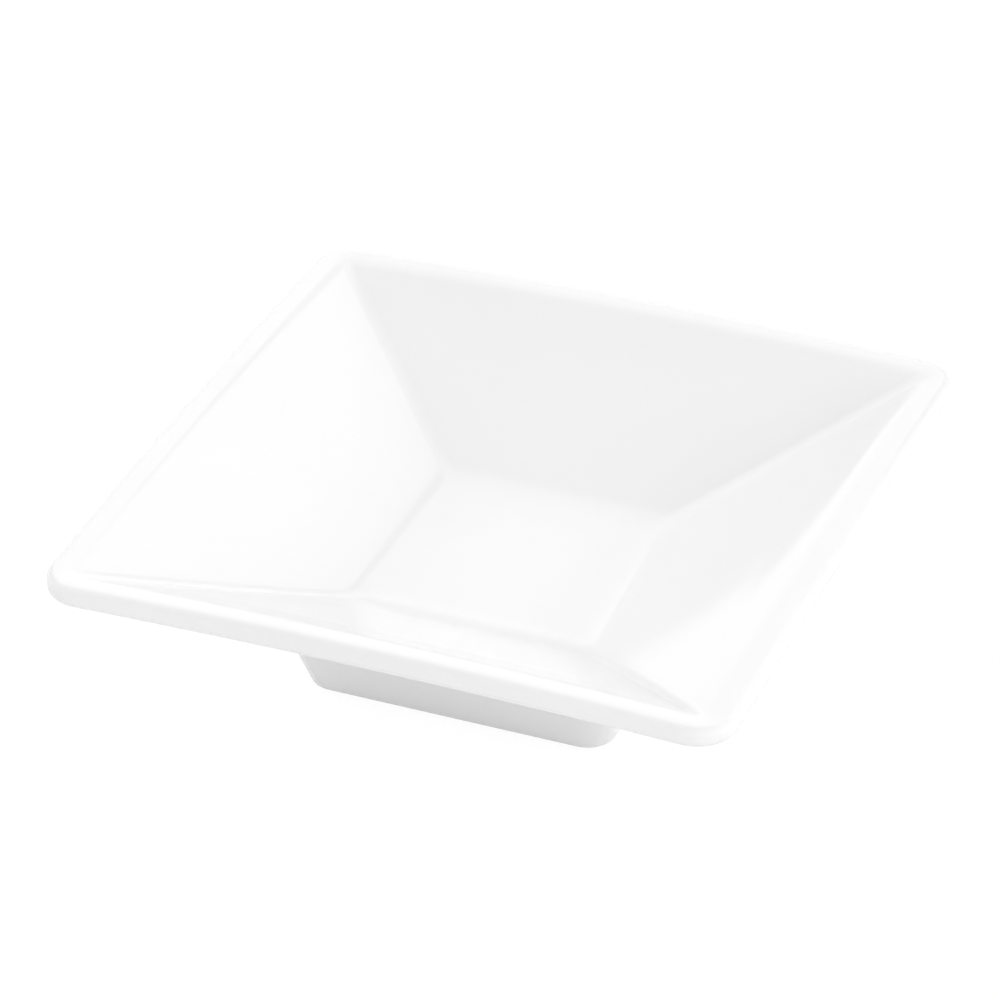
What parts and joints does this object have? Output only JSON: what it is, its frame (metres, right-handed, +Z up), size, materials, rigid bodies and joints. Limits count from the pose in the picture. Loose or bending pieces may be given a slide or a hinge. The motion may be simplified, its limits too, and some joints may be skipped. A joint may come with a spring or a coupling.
{
  "type": "soy sauce dish",
  "caption": "Square flared white porcelain dish with sloping walls, a small flat floor, a rounded lip and a square foot ring, for serving soy sauce.",
  "frame": {"origin": "on the table, under the middle of the dish", "axes": "+Z up out of the dish, +X and +Y along the sides of the square, the pictured near side facing -Y"},
  "size_m": [0.09, 0.09, 0.026],
  "materials": {
    "fired_clay": "matt, unglazed",
    "white_glaze": "glossy, clear white"
  },
  "bodies": {
    "root": {"dish_body": "fired_clay", "foot_ring": "fired_clay", "glaze_coat": "white_glaze"}
  },
  "joints": []
}
